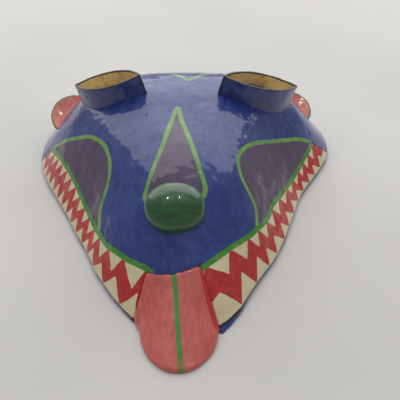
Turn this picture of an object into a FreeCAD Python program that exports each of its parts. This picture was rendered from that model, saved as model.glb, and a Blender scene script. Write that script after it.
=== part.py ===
import FreeCAD, Part
import math
import os

import Sketcher
from FreeCAD import Placement, Rotation, Vector

# A hand-painted papier-mache animal mask that lies face up on its rim.
# Frame: +Z out of the face, +Y to the forehead, +X across it. The origin is on
# the plane of the rim, in the middle of the mask's length and width.
# "Reach" is a distance from the tongue's tip along +Y; "out" is a distance from
# the muzzle's centre line along X.

SIZES = [
    ("mask_length", 320.0, "tongue tip to forehead edge"),
    ("left_cheek_out", 124.0, "muzzle line to left cheek"),
    ("right_cheek_out", 129.0, "muzzle line to right cheek"),
    ("left_cheek_back", 89.0, "forehead edge forward to left cheek"),
    ("right_cheek_back", 86.0, "forehead edge forward to right cheek"),
    ("jaw_front_reach", 19.0, "reach of the rim's front before the mouth is cut"),
    ("left_chin_out", 30.0, "muzzle line to the rim's left front end"),
    ("left_chin_reach", 35.5, "reach of the rim's left front end"),
    ("right_chin_out", 20.5, "muzzle line to the rim's right front end"),
    ("right_chin_reach", 25.0, "reach of the rim's right front end"),
    ("left_jaw_out", 55.0, "muzzle line to the left jaw"),
    ("right_jaw_out", 51.0, "muzzle line to the right jaw"),
    ("jaw_reach", 70.0, "reach where the jaw has that width"),
    ("muzzle_out", 70.0, "half width of the muzzle"),
    ("muzzle_reach", 100.0, "reach where the muzzle has that width"),
    ("left_side_bow", 4.0, "outward bow of the left side between muzzle and cheek"),
    ("right_side_bow", -2.8, "outward bow of the right side between muzzle and cheek"),
    ("temple_in", 4.0, "narrowing from a cheek to its temple"),
    ("temple_length", 25.0, "distance from a cheek back to its temple"),
    ("brow_out", 106.0, "half width of the brow"),
    ("brow_back", 33.0, "forehead edge forward to the brow corners"),
    ("rim_height", 5.0, "upright band round the rim"),
    ("side_slope", 53.0, "slope of the side walls, degrees"),
    ("side_blend", 34.0, "softness of the shoulder between side and crown"),
    ("crown_drop", 14.0, "fall of the crown from the middle to the cheeks"),
    ("chin_crown", 10.0, "crown height over the rim's front"),
    ("lip_crown", 36.0, "crown height behind the lip"),
    ("snout_crown", 65.0, "crown height at the snout"),
    ("eye_crown", 73.0, "crown height between the eyes"),
    ("forehead_crown", 70.0, "crown height at the forehead"),
    ("back_crown", 48.0, "crown height over the forehead edge"),
    ("shell_wall", 3.5, "thickness of the paper shell"),
    ("lip_reach", 64.5, "reach of the upper lip's edge"),
    ("lip_left", 24.5, "lip corner left of the muzzle line"),
    ("lip_right", 11.5, "lip corner right of the muzzle line"),
    ("lip_bow", 7.0, "how far the lip's middle stands ahead of its corners"),
    ("mouth_left_flare", 20.5, "spread of the mouth's left edge, degrees"),
    ("mouth_right_flare", 19.6, "spread of the mouth's right edge, degrees"),
    ("tongue_out", 25.0, "half width of the tongue's tip"),
    ("tongue_lean", -3.0, "tongue tip's middle from the muzzle line"),
    ("tongue_tip_length", 30.0, "length of the tongue's rounded tip"),
    ("tongue_left_reach", 41.5, "reach where the tongue meets the left jaw"),
    ("tongue_right_reach", 31.0, "reach where the tongue meets the right jaw"),
    ("tongue_root", 14.0, "length of tongue tucked under the lip"),
    ("tongue_thick", 3.0, "thickness of the tongue"),
    ("tongue_edge", 2.5, "height of the tongue's edge over the rim plane"),
    ("tongue_belly", 16.0, "height of the tongue where its tip begins"),
    ("tongue_inset", 1.2, "how far the tongue lies below the painted jaw"),
    ("nose_out", -5.0, "nose centre from the muzzle line"),
    ("nose_reach", 95.0, "reach of the nose centre"),
    ("nose_width", 42.0, "width of the nose"),
    ("nose_length", 36.0, "length of the nose"),
    ("nose_rise", 10.0, "height of the nose over the snout"),
    ("left_eye_out", 60.0, "muzzle line to the left eye's centre"),
    ("right_eye_out", 64.5, "muzzle line to the right eye's centre"),
    ("eye_back", 97.5, "forehead edge forward to the eye centres"),
    ("eye_rise", 13.6, "height of the collar rims over the face"),
    ("left_eye_length", 60.0, "left collar, corner to corner"),
    ("right_eye_length", 68.0, "right collar, corner to corner"),
    ("eye_width", 30.0, "collar width"),
    ("eye_wall", 2.0, "thickness of a collar strip"),
    ("eye_depth", 40.0, "length of a collar strip before it is trimmed"),
    ("eye_lean", 17.0, "outward lean of a collar, degrees"),
    ("eye_yaw", 15.0, "backward turn of a collar's outer corner, degrees"),
    ("eye_floor_depth", 10.0, "rim to the top of the eyeball"),
    ("eye_floor_round", 90.0, "radius of the eyeball's top"),
    ("left_ear_in", 46.0, "left temple in to the ear root"),
    ("right_ear_in", 53.0, "right temple in to the ear root"),
    ("ear_ahead", 14.0, "temple forward to the ear root"),
    ("ear_height", 13.0, "height of the ear root"),
    ("ear_length", 50.0, "ear root to tip"),
    ("ear_width", 42.0, "width of an ear"),
    ("ear_thick", 3.0, "thickness of an ear"),
    ("ear_dish", 70.0, "radius of the ear's hollow face"),
    ("ear_turn", 50.0, "turn of an ear out from straight back, degrees"),
    ("ear_tilt", 24.0, "rise of an ear's back edge, degrees"),
    ("hanger_back", 29.0, "forehead edge forward to the hanging ring's pivot"),
    ("hanger_drop", 13.4, "shell's inner surface down to the pivot"),
    ("wire_thick", 2.4, "diameter of the ring's wire"),
    ("ring_width", 24.0, "hanging ring, wire centre to wire centre"),
    ("ring_corner", 3.0, "bend radius at the ends of the ring's bar"),
    ("strap_width", 12.0, "width of the strap that holds the ring"),
    ("strap_thick", 1.2, "thickness of the strap"),
    ("strap_tail", 24.0, "length of the strap's glued tail"),
    ("strap_slope", 42.0, "slope of the strap's tail, degrees"),
    ("pivot_gap", 0.1, "radial clearance of the ring in its strap"),
]

GRID = 6.0
TONGUE_GRID = 3.0
MARGIN = 12.0
TALL = 160.0

doc = FreeCAD.newDocument("AnimalMask")
sheet = doc.addObject("Spreadsheet::Sheet", "Sizes")
for row, (alias, value, note) in enumerate(SIZES, start=1):
    sheet.set(f"A{row}", note)
    sheet.set(f"B{row}", str(value))
    sheet.setAlias(f"B{row}", alias)
doc.recompute()


def size(alias):
    """Read one driving size from the sheet."""
    return float(sheet.get(alias))


CENTRE = (size("left_cheek_out") - size("right_cheek_out")) / 2
HALF_LENGTH = size("mask_length") / 2
CHEEK_HALF = (size("left_cheek_out") + size("right_cheek_out")) / 2


def from_back(alias):
    """Reach of a place whose size is measured forward from the forehead edge."""
    return size("mask_length") - size(alias)


def plan(out, reach, height=0.0):
    """Point from its distance off the muzzle line and its reach from the tongue tip."""
    return Vector(CENTRE + out, reach - HALF_LENGTH, height)


# ---------------------------------------------------------------- height fields

def outline_point(side, name):
    """One named point of the rim, left is -1 and right is 1."""
    word = "left_" if side < 0 else "right_"
    if name in ("cheek", "temple"):
        out, reach = size(word + "cheek_out"), from_back(word + "cheek_back")
        if name == "temple":
            out -= size("temple_in")
            reach += size("temple_length")
    elif name == "side":
        front, back = outline_point(side, "muzzle"), outline_point(side, "cheek")
        outward = Vector(back.y - front.y, front.x - back.x, 0).normalize()
        return (front + back) * 0.5 + outward * side * size(word + "side_bow")
    elif name == "brow":
        out, reach = size("brow_out"), from_back("brow_back")
    elif name == "chin":
        out, reach = size(word + "chin_out"), size(word + "chin_reach")
    elif name == "jaw":
        out, reach = size(word + "jaw_out"), size("jaw_reach")
    else:
        out, reach = size("muzzle_out"), size("muzzle_reach")
    return plan(side * out, reach)


def outline_curve():
    """The rim seen from above, one closed smooth curve."""
    places = ("chin", "jaw", "muzzle", "side", "cheek", "temple", "brow")
    left = [outline_point(-1, name) for name in places]
    right = [outline_point(1, name) for name in places]
    front = [plan(0, size("jaw_front_reach"))]
    back = [plan(0, size("mask_length"))]
    curve = Part.BSplineCurve()
    curve.interpolate(Points=front + right + back + left[::-1], PeriodicFlag=True)
    return curve


def inset_curve(curve, distance, count=72):
    """A closed curve that runs a distance inside another, both seen from above."""
    points = []
    for i in range(count):
        place = curve.FirstParameter + (curve.LastParameter - curve.FirstParameter) * i / count
        along = Vector(*curve.tangent(place)[0])
        points.append(curve.value(place) + Vector(-along.y, along.x, 0).normalize() * distance)
    inner = Part.BSplineCurve()
    inner.interpolate(Points=points, PeriodicFlag=True)
    return inner


OUTLINE = outline_curve()
OUTLINE_POINTS = [(p.x, p.y) for p in OUTLINE.discretize(300)]


def edge_distance(x, y):
    """Distance in from the rim's outline, negative outside it."""
    inside = False
    nearest = float("inf")
    for (ax, ay), (bx, by) in zip(OUTLINE_POINTS, OUTLINE_POINTS[1:] + OUTLINE_POINTS[:1]):
        dx, dy = bx - ax, by - ay
        length = dx * dx + dy * dy
        if length == 0:
            continue
        share = min(1.0, max(0.0, ((x - ax) * dx + (y - ay) * dy) / length))
        nearest = min(nearest, math.hypot(ax + share * dx - x, ay + share * dy - y))
        if (ay > y) != (by > y) and x < ax + (y - ay) * dx / dy:
            inside = not inside
    return nearest if inside else -nearest


def profile(stations, place):
    """Height at a place on a smooth line through (place, height) stations."""
    last = len(stations) - 1
    i = max(0, min(last - 1, sum(1 for station in stations if station[0] <= place) - 1))
    (p0, h0), (p1, h1) = stations[i], stations[i + 1]
    before = stations[max(i - 1, 0)]
    after = stations[min(i + 2, last)]
    slope0 = (h1 - before[1]) / (p1 - before[0])
    slope1 = (after[1] - h0) / (after[0] - p0)
    t = (place - p0) / (p1 - p0)
    if t < 0:
        return h0 + slope0 * (place - p0)
    if t > 1:
        return h1 + slope1 * (place - p1)
    span = p1 - p0
    return ((2 * t**3 - 3 * t**2 + 1) * h0 + (t**3 - 2 * t**2 + t) * span * slope0
            + (3 * t**2 - 2 * t**3) * h1 + (t**3 - t**2) * span * slope1)


CROWN = [
    (size("jaw_front_reach"), size("chin_crown")),
    (size("lip_reach"), size("lip_crown")),
    (size("nose_reach") + size("nose_length") / 2, size("snout_crown")),
    (from_back("eye_back") - size("eye_width"), size("eye_crown")),
    (from_back("brow_back") - size("eye_width"), size("forehead_crown")),
    (size("mask_length"), size("back_crown")),
]


def soft_min(a, b, width):
    """The lower of two heights, rounded where they cross."""
    share = min(1.0, max(0.0, 0.5 + 0.5 * (b - a) / width))
    return b * (1 - share) + a * share - width * share * (1 - share)


def face_height(x, y):
    """Outer surface of the face, over the rim plane."""
    side = size("rim_height") + edge_distance(x, y) * math.tan(math.radians(size("side_slope")))
    crown = profile(CROWN, y + HALF_LENGTH)
    crown -= size("crown_drop") * ((x - CENTRE) / CHEEK_HALF) ** 2
    return soft_min(crown, side, size("side_blend"))


class Field:
    """A grid of heights over a rectangle of the rim plane."""

    def __init__(self, low, high, cell, height):
        self.low = low
        self.cell = cell
        self.columns = int((high.x - low.x) / cell) + 2
        self.rows = int((high.y - low.y) / cell) + 2
        self.heights = [[height(low.x + i * cell, low.y + j * cell) for j in range(self.rows)]
                        for i in range(self.columns)]

    def relaxed(self, passes=2):
        """Average each inner height with its neighbours, to soften creases."""
        for _ in range(passes):
            old = [column[:] for column in self.heights]
            for i in range(1, self.columns - 1):
                for j in range(1, self.rows - 1):
                    sides = old[i - 1][j] + old[i + 1][j] + old[i][j - 1] + old[i][j + 1]
                    self.heights[i][j] = 0.5 * old[i][j] + 0.125 * sides
        return self

    def slope(self, i, j):
        """Slopes along X and Y at a grid point."""
        west, east = max(i - 1, 0), min(i + 1, self.columns - 1)
        south, north = max(j - 1, 0), min(j + 1, self.rows - 1)
        return ((self.heights[east][j] - self.heights[west][j]) / ((east - west) * self.cell),
                (self.heights[i][north] - self.heights[i][south]) / ((north - south) * self.cell))

    def lowered(self, thickness):
        """The parallel field a wall's thickness below this one."""
        below = Field.__new__(Field)
        below.low, below.cell, below.columns, below.rows = self.low, self.cell, self.columns, self.rows
        below.heights = []
        for i in range(self.columns):
            column = []
            for j in range(self.rows):
                dx, dy = self.slope(i, j)
                column.append(self.heights[i][j] - thickness * math.sqrt(1 + dx * dx + dy * dy))
            below.heights.append(column)
        return below

    def at(self, x, y):
        """Height between the grid points."""
        u = (x - self.low.x) / self.cell
        v = (y - self.low.y) / self.cell
        i = max(0, min(self.columns - 2, int(u)))
        j = max(0, min(self.rows - 2, int(v)))
        u -= i
        v -= j
        near = self.heights[i][j] * (1 - u) + self.heights[i + 1][j] * u
        far = self.heights[i][j + 1] * (1 - u) + self.heights[i + 1][j + 1] * u
        return near * (1 - v) + far * v

    def above(self):
        """Everything over the field, as a tall solid."""
        surface = Part.BSplineSurface()
        surface.interpolate(self.heights, self.low.x, self.cell, self.low.y, self.cell)
        return surface.toShape().extrude(Vector(0, 0, TALL))


def under(field, wire):
    """The solid between the rim plane and a field, inside a closed plan wire."""
    prism = Part.Face(wire).extrude(Vector(0, 0, TALL - 20))
    return prism.cut(field.above())


half_across = Vector(CHEEK_HALF + MARGIN, HALF_LENGTH + MARGIN, 0)
face_front = plan(0, size("jaw_front_reach") - MARGIN)
outer_field = Field(Vector(-half_across.x, face_front.y, 0), half_across, GRID, face_height).relaxed(4)
inner_field = outer_field.lowered(size("shell_wall"))


# ---------------------------------------------------------------- document tools

def bind(item, **properties):
    """Tie an object's properties to sheet expressions."""
    for name, expression in properties.items():
        item.setExpression(name, expression)
    return item


def add_solid(name, shape):
    """Hold a worked-out shape as a document object."""
    item = doc.addObject("Part::Feature", name)
    item.Shape = shape
    return item


def add_cut(name, base, tool, label=None):
    """Subtract one object from another."""
    item = doc.addObject("Part::Cut", name)
    item.Base = base
    item.Tool = tool
    item.Label = label or name
    return item


def add_common(name, base, tool, label=None):
    """Keep what two objects share."""
    item = doc.addObject("Part::Common", name)
    item.Base = base
    item.Tool = tool
    item.Label = label or name
    return item


def add_body(name):
    """A body with a sketch on its own XY plane."""
    body = doc.addObject("PartDesign::Body", name)
    plane = next(item for item in body.Origin.OriginFeatures if item.Role == "XY_Plane")
    sketch = body.newObject("Sketcher::SketchObject", name + "Sketch")
    sketch.AttachmentSupport = [(plane, "")]
    sketch.MapMode = "FlatFace"
    return body, sketch


def add_pad(body, sketch, length, downward=False):
    """Pad a sketch by a sheet expression."""
    pad = body.newObject("PartDesign::Pad", body.Name + "Pad")
    pad.Profile = sketch
    pad.Reversed = downward
    pad.setExpression("Length", length)
    body.Tip = pad
    return body


def hold(sketch, kind, *where, expression=None, value=None):
    """Add one constraint, with its datum tied to the sheet where it has one."""
    if expression is None:
        return sketch.addConstraint(Sketcher.Constraint(kind, *where))
    index = sketch.addConstraint(Sketcher.Constraint(kind, *where, value))
    sketch.setExpression(f"Constraints[{index}]", expression)
    return index


# ---------------------------------------------------------------- shell and mouth

face_form = add_solid("FaceForm", under(outer_field, Part.Wire(OUTLINE.toShape())))
inner_wire = Part.Wire(inset_curve(OUTLINE, size("shell_wall")).toShape())
face_hollow = add_solid("FaceHollow", under(inner_field, inner_wire))


MOUTH_OUT = (size("lip_right") - size("lip_left")) / 2


def mouth_corner(side, reach):
    """Point on the mouth's left (-1) or right (1) edge at a reach."""
    name = "left" if side < 0 else "right"
    spread = math.tan(math.radians(size(f"mouth_{name}_flare")))
    return plan(side * (size("lip_" + name) + (size("lip_reach") - reach) * spread), reach)


def mouth_opening():
    """The gap in the jaw that the tongue fills, wider towards the front."""
    reaches = [size("lip_reach"), 0.0]
    left = [mouth_corner(-1, reach) for reach in reaches]
    right = [mouth_corner(1, reach) for reach in reaches]
    middle = plan(MOUTH_OUT, size("lip_reach") - size("lip_bow"))
    lip = Part.Arc(right[0], middle, left[0]).toShape()
    sides = Part.makePolygon([left[0], left[1], right[1], right[0]])
    return Part.Face(Part.Wire(sides.Edges + [lip])).extrude(Vector(0, 0, TALL))


mouth = add_solid("MouthOpening", mouth_opening())
face_wall = add_cut("FaceWall", face_form, face_hollow)
face_shell = add_cut("FaceShell", face_wall, mouth, "face_shell")


# ---------------------------------------------------------------- tongue

TONGUE_TIP = size("tongue_tip_length")
LIP_FRONT = size("lip_reach") - size("lip_bow")


def lip_underside():
    """Height of the shell's inner surface at the middle of the lip."""
    middle = plan(MOUTH_OUT, LIP_FRONT)
    return inner_field.at(middle.x, middle.y)


TONGUE_LINE = [
    (0.0, size("tongue_edge")),
    (TONGUE_TIP, size("tongue_belly")),
    (LIP_FRONT, lip_underside() + size("tongue_inset")),
    (LIP_FRONT + size("tongue_root"), lip_underside() + size("tongue_root") / 3),
]


def tongue_height(x, y):
    """Top of the tongue: flush with the jaw inside the mouth, an arch in front of it."""
    reach = y + HALF_LENGTH
    forward = min(1.0, max(0.0, (TONGUE_TIP - reach) / TONGUE_TIP))
    half = size("tongue_out") * math.sqrt(max(0.25, 1 - forward**2))
    drift = min(1.0, max(0.0, (reach - TONGUE_TIP) / (LIP_FRONT - TONGUE_TIP)))
    middle = CENTRE + size("tongue_lean") * (1 - drift) + MOUTH_OUT * drift
    across = abs(x - middle) / half
    edge = size("tongue_edge")
    rise = (profile(TONGUE_LINE, reach) - edge) * max(0.0, 1 - across**2) ** 0.75
    arch = edge + rise - 8 * max(0.0, across - 1)
    flush = face_height(x, y) - size("tongue_inset")
    root = max(0.0, reach - size("lip_reach"))
    return -soft_min(-arch, -flush + 3 * root, 4.0)


def tongue_outline():
    """The tongue from above: rounded tip, sides on the mouth's edges, root under the lip."""
    lip, root = size("lip_reach"), size("lip_reach") + size("tongue_root")
    half, lean = size("tongue_out"), size("tongue_lean")
    left = [plan(lean - half, TONGUE_TIP), mouth_corner(-1, size("tongue_left_reach")),
            mouth_corner(-1, lip), plan(-size("lip_left"), root)]
    right = [plan(lean + half, TONGUE_TIP), mouth_corner(1, size("tongue_right_reach")),
             mouth_corner(1, lip), plan(size("lip_right"), root)]
    ellipse = Part.Ellipse(plan(lean, 0), plan(lean + half, TONGUE_TIP), plan(lean, TONGUE_TIP))
    edges = [Part.LineSegment(a, b).toShape() for a, b in zip(left, left[1:])]
    edges += [Part.LineSegment(a, b).toShape() for a, b in zip(right, right[1:])]
    edges += [Part.LineSegment(left[-1], right[-1]).toShape()]
    arc = Part.ArcOfEllipse(ellipse, -math.pi / 2, math.pi / 2)
    edges += [arc.toShape()]
    return Part.Wire(Part.__sortEdges__(edges))


tongue_left = min(size("tongue_lean") - size("tongue_out"),
                  mouth_corner(-1, size("tongue_left_reach")).x - CENTRE)
tongue_right = max(size("tongue_lean") + size("tongue_out"),
                   mouth_corner(1, size("tongue_right_reach")).x - CENTRE)
tongue_low = plan(tongue_left - 2 * TONGUE_GRID, -2 * TONGUE_GRID)
tongue_high = plan(tongue_right + 2 * TONGUE_GRID,
                   size("lip_reach") + size("tongue_root") + TONGUE_GRID)
tongue_field = Field(tongue_low, tongue_high, TONGUE_GRID, tongue_height).relaxed()
tongue_below = tongue_field.lowered(size("tongue_thick"))
tongue_form = add_solid("TongueForm", under(tongue_field, tongue_outline()))
tongue_under = add_solid("TongueUnder", under(tongue_below, tongue_outline()))
tongue_sheet = add_cut("TongueSheet", tongue_form, tongue_under)
tongue = add_cut("Tongue", tongue_sheet, face_shell, "tongue")


# ---------------------------------------------------------------- nose

def on_face(out, reach):
    """Point on the outer surface and the pitch that stands +Z on it."""
    at = plan(out, reach)
    rise = (outer_field.at(at.x, at.y + GRID) - outer_field.at(at.x, at.y - GRID)) / (2 * GRID)
    at.z = outer_field.at(at.x, at.y)
    return at, Rotation(Vector(0, 0, 1), Vector(0, -rise, 1))


nose_ball = bind(doc.addObject("Part::Ellipsoid", "NoseBall"), Radius1="Sizes.nose_rise",
                 Radius2="Sizes.nose_width / 2", Radius3="Sizes.nose_length / 2")
nose_at, nose_turn = on_face(size("nose_out"), size("nose_reach"))
nose_ball.Placement = Placement(nose_at, nose_turn)
nose_cap = add_cut("NoseCap", nose_ball, face_form, "nose_cap")


# ---------------------------------------------------------------- eyes

def eye_place(side):
    """Where a collar's rim sits: left is -1, right is 1."""
    turn = Rotation(Vector(0, 0, 1), side * size("eye_yaw"))
    lean = Rotation(Vector(0, 1, 0), side * size("eye_lean"))
    out = size("left_eye_out" if side < 0 else "right_eye_out")
    at = plan(side * out, from_back("eye_back"))
    at.z = outer_field.at(at.x, at.y) + size("eye_rise")
    return Placement(at, turn.multiply(lean))


def arc_radius(length, width):
    """Radius of each side of a leaf shape with sharp ends."""
    return (length**2 / 4 + width**2 / 4) / width


def eye_strip(name, side, face, length_name):
    """One bent card strip, half of a collar, before it is trimmed to the face."""
    body, sketch = add_body(name)
    length, width, wall = size(length_name), size("eye_width"), size("eye_wall")
    radius = arc_radius(length, width)
    centre = Vector(0, -face * (radius - width / 2), 0)
    for radius_now in (radius, radius - wall):
        half = math.sqrt(radius_now**2 - centre.y**2)
        start = math.atan2(-centre.y, half)
        end = math.atan2(-centre.y, -half)
        circle = Part.Circle(centre, Vector(0, 0, 1), radius_now)
        first, last = (start, end) if face > 0 else (end, start)
        sketch.addGeometry(Part.ArcOfCircle(circle, first, last))
    inner_half = math.sqrt((radius - wall) ** 2 - centre.y**2)
    for end in (1, -1):
        sketch.addGeometry(Part.LineSegment(Vector(end * length / 2, 0, 0),
                                            Vector(end * inner_half, 0, 0)))
    radius_text = f"((Sizes.{length_name} ^ 2 + Sizes.eye_width ^ 2) / (4 * Sizes.eye_width))"
    hold(sketch, "Coincident", 1, 3, 0, 3)
    hold(sketch, "PointOnObject", 0, 3, -2)
    hold(sketch, "Radius", 0, value=radius, expression=radius_text)
    hold(sketch, "Radius", 1, value=radius - wall, expression=radius_text + " - Sizes.eye_wall")
    offset = f"{radius_text} - Sizes.eye_width / 2"
    ends = [(0, 3), (-1, 1)] if face > 0 else [(-1, 1), (0, 3)]
    hold(sketch, "DistanceY", *ends[0], *ends[1], value=abs(centre.y), expression=offset)
    right_end, left_end = (1, 2) if face > 0 else (2, 1)
    for line, arc_end in ((2, right_end), (3, left_end)):
        hold(sketch, "Coincident", line, 1, 0, arc_end)
        hold(sketch, "Coincident", line, 2, 1, arc_end)
        hold(sketch, "PointOnObject", line, 1, -1)
        hold(sketch, "PointOnObject", line, 2, -1)
    add_pad(body, sketch, "Sizes.eye_depth", downward=True)
    body.Placement = eye_place(side)
    return body


def eye_plug(name, side, length_name):
    """A leaf-shaped prism that fills a collar."""
    body, sketch = add_body(name)
    length = size(length_name)
    width, wall = size("eye_width"), size("eye_wall")
    radius = arc_radius(length, width)
    inner = radius - wall
    drop = radius - width / 2
    half = math.sqrt(inner**2 - drop**2)
    for face in (1, -1):
        circle = Part.Circle(Vector(0, -face * drop, 0), Vector(0, 0, 1), inner)
        start = math.atan2(face * drop, half)
        end = math.atan2(face * drop, -half)
        first, last = (start, end) if face > 0 else (end, start)
        sketch.addGeometry(Part.ArcOfCircle(circle, first, last))
    radius_text = f"((Sizes.{length_name} ^ 2 + Sizes.eye_width ^ 2) / (4 * Sizes.eye_width))"
    hold(sketch, "Coincident", 0, 1, 1, 2)
    hold(sketch, "Coincident", 0, 2, 1, 1)
    hold(sketch, "PointOnObject", 0, 3, -2)
    hold(sketch, "PointOnObject", 1, 3, -2)
    hold(sketch, "PointOnObject", 0, 1, -1)
    hold(sketch, "Radius", 0, value=inner, expression=radius_text + " - Sizes.eye_wall")
    hold(sketch, "Equal", 0, 1)
    hold(sketch, "DistanceY", 0, 3, -1, 1, value=drop,
         expression=f"{radius_text} - Sizes.eye_width / 2")
    add_pad(body, sketch, "Sizes.eye_depth", downward=True)
    body.Placement = eye_place(side)
    return body


pieces = [face_shell, tongue, nose_cap]
for side, side_name in ((-1, "left"), (1, "right")):
    length_name = side_name + "_eye_length"
    for face, face_name in ((1, "back"), (-1, "front")):
        label = f"{side_name}_eye_{face_name}_wall"
        title = label.title().replace("_", "")
        strip = eye_strip(title + "Strip", side, face, length_name)
        pieces.append(add_cut(title, strip, face_form, label))
    title = side_name.title()
    plug = eye_plug(title + "EyePlug", side, length_name)
    dome = bind(doc.addObject("Part::Sphere", title + "EyeDome"), Radius="Sizes.eye_floor_round")
    sink = Vector(0, 0, -size("eye_floor_depth") - size("eye_floor_round"))
    dome.Placement = eye_place(side).multiply(Placement(sink, Rotation()))
    domed = add_common(title + "EyeDomed", plug, dome)
    pieces.append(add_cut(title + "Eyeball", domed, face_form, side_name + "_eyeball"))


# ---------------------------------------------------------------- ears

def ear_petal(name):
    """A rounded leaf, root at the sketch's origin, tip along +Y."""
    body, sketch = add_body(name)
    half, length = size("ear_width") / 2, size("ear_length")
    circle = Part.Circle(Vector(0, length - half, 0), Vector(0, 0, 1), half)
    reach = length - half
    touch = math.asin(half / reach)
    tangent = math.sqrt(reach**2 - half**2)
    right = Vector(tangent * math.sin(touch), tangent * math.cos(touch), 0)
    left = Vector(-right.x, right.y, 0)
    start = math.atan2(right.y - reach, right.x)
    sketch.addGeometry(Part.ArcOfCircle(circle, start, math.pi - start))
    sketch.addGeometry(Part.LineSegment(Vector(0, 0, 0), right))
    sketch.addGeometry(Part.LineSegment(left, Vector(0, 0, 0)))
    hold(sketch, "Tangent", 0, 1, 1, 2)
    hold(sketch, "Tangent", 0, 2, 2, 1)
    hold(sketch, "Coincident", 1, 1, -1, 1)
    hold(sketch, "Coincident", 2, 2, -1, 1)
    hold(sketch, "PointOnObject", 0, 3, -2)
    hold(sketch, "Radius", 0, value=half, expression="Sizes.ear_width / 2")
    hold(sketch, "DistanceY", -1, 1, 0, 3, value=reach, expression="Sizes.ear_length - Sizes.ear_width / 2")
    return add_pad(body, sketch, "Sizes.ear_width")


def ear_place(side):
    """Where an ear's root sits, turned outward and tipped to face forward."""
    temple = outline_point(side, "temple")
    inward = size("left_ear_in" if side < 0 else "right_ear_in")
    turn = Rotation(Vector(0, 0, 1), -side * size("ear_turn"))
    tilt = Rotation(Vector(1, 0, 0), size("ear_tilt"))
    at = Vector(temple.x - side * inward, temple.y - size("ear_ahead"), size("ear_height"))
    return Placement(at, tilt.multiply(turn))


for side, side_name in ((-1, "left"), (1, "right")):
    title = side_name.title()
    petal = ear_petal(title + "EarPetal")
    petal.Placement = ear_place(side)
    bowl_middle = Vector(0, size("ear_length") / 2, size("ear_dish"))
    outside = bind(doc.addObject("Part::Sphere", title + "EarOutside"), Radius="Sizes.ear_dish")
    inside = bind(doc.addObject("Part::Sphere", title + "EarInside"),
                  Radius="Sizes.ear_dish - Sizes.ear_thick")
    for ball in (outside, inside):
        ball.Placement = ear_place(side).multiply(Placement(bowl_middle, Rotation()))
    bowl = add_cut(title + "EarBowl", outside, inside)
    leaf = add_common(title + "EarLeaf", bowl, petal)
    pieces.append(add_cut(title + "Ear", leaf, face_form, side_name + "_ear"))


# ---------------------------------------------------------------- hanging ring

PIVOT = plan(-CENTRE, from_back("hanger_back"))
PIVOT.z = inner_field.at(PIVOT.x, PIVOT.y) - size("hanger_drop")


def ring_part(kind, name, at, turn, **sizes):
    """One primitive of the ring, in the frame where the bar lies on X."""
    item = bind(doc.addObject(kind, name), **sizes)
    item.Placement = Placement(PIVOT + at, turn)
    return item


wire = "Sizes.wire_thick / 2"
corner = size("ring_corner")
straight = size("ring_width") / 2 - corner
down = Rotation(Vector(1, 0, 0), -90)
ring_bar = ring_part("Part::Cylinder", "RingBar", Vector(-straight, 0, 0), Rotation(Vector(0, 1, 0), 90),
                     Radius=wire, Height="Sizes.ring_width - 2 * Sizes.ring_corner")
ring_bow = ring_part("Part::Torus", "RingBow", Vector(0, 0, -corner), down,
                     Radius1="Sizes.ring_width / 2", Radius2=wire)
ring_bow.Angle3 = 180
ring_bends = []
for side, start in ((1, -90), (-1, 180)):
    bend = ring_part("Part::Torus", "RingBend" + ("Right" if side > 0 else "Left"),
                     Vector(side * straight, 0, -corner), down.multiply(Rotation(Vector(0, 0, 1), start)),
                     Radius1="Sizes.ring_corner", Radius2=wire)
    bend.Angle3 = 90
    ring_bends.append(bend)
ring = doc.addObject("Part::MultiFuse", "HangerRing")
ring.Shapes = [ring_bar, ring_bow] + ring_bends
ring.Label = "hanger_ring"
pieces.append(ring)


def strap_frame():
    """Frame at the pivot with +Y up the slope of the strap's tail."""
    return Placement(PIVOT, Rotation(Vector(1, 0, 0), 180 - size("strap_slope")))


def strap_part(kind, name, at, turn=Rotation(), **sizes):
    """One primitive of the strap, in its own sloping frame."""
    item = bind(doc.addObject(kind, name), **sizes)
    item.Placement = strap_frame().multiply(Placement(at, turn))
    return item


along_x = Rotation(Vector(0, 1, 0), 90)
strap_half = size("strap_width") / 2
eye_outer = "Sizes.wire_thick / 2 + Sizes.pivot_gap + Sizes.strap_thick"
strap_eye = strap_part("Part::Cylinder", "StrapEye", Vector(-strap_half, 0, 0), along_x,
                       Radius=eye_outer, Height="Sizes.strap_width")
strap_tail = strap_part("Part::Box", "StrapTail", Vector(-strap_half, 0, -size("strap_thick")),
                        Length="Sizes.strap_width", Width="Sizes.strap_tail",
                        Height="2 * Sizes.strap_thick")
strap_bore = strap_part("Part::Cylinder", "StrapBore", Vector(-strap_half, 0, 0), along_x,
                        Radius="Sizes.wire_thick / 2 + Sizes.pivot_gap", Height="Sizes.strap_width")
strap_whole = doc.addObject("Part::Fuse", "StrapWhole")
strap_whole.Base = strap_eye
strap_whole.Tool = strap_tail
strap = add_cut("HangerStrap", strap_whole, strap_bore, "hanger_strap")
pieces.append(strap)

pad_start = size("wire_thick") / 2 + size("pivot_gap") + 2 * size("strap_thick")
pad_block = strap_part("Part::Box", "PadBlock",
                       Vector(-strap_half, pad_start, -size("strap_thick") - 4 * size("strap_tail") / 3),
                       Length="Sizes.strap_width", Height="4 * Sizes.strap_tail / 3")
pad_block.setExpression("Width", f"Sizes.strap_tail - {pad_start}")
pieces.append(add_common("HangerPad", pad_block, face_hollow, "hanger_pad"))


# ---------------------------------------------------------------- checks and files

doc.recompute()
for item in doc.Objects:
    if "Invalid" in item.State or "Error" in item.State:
        raise RuntimeError(f"{item.Name} did not build: {item.State}")
for piece in pieces:
    if piece.Shape.isNull() or not piece.Shape.isValid():
        raise RuntimeError(f"{piece.Label} has no valid shape")

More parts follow.
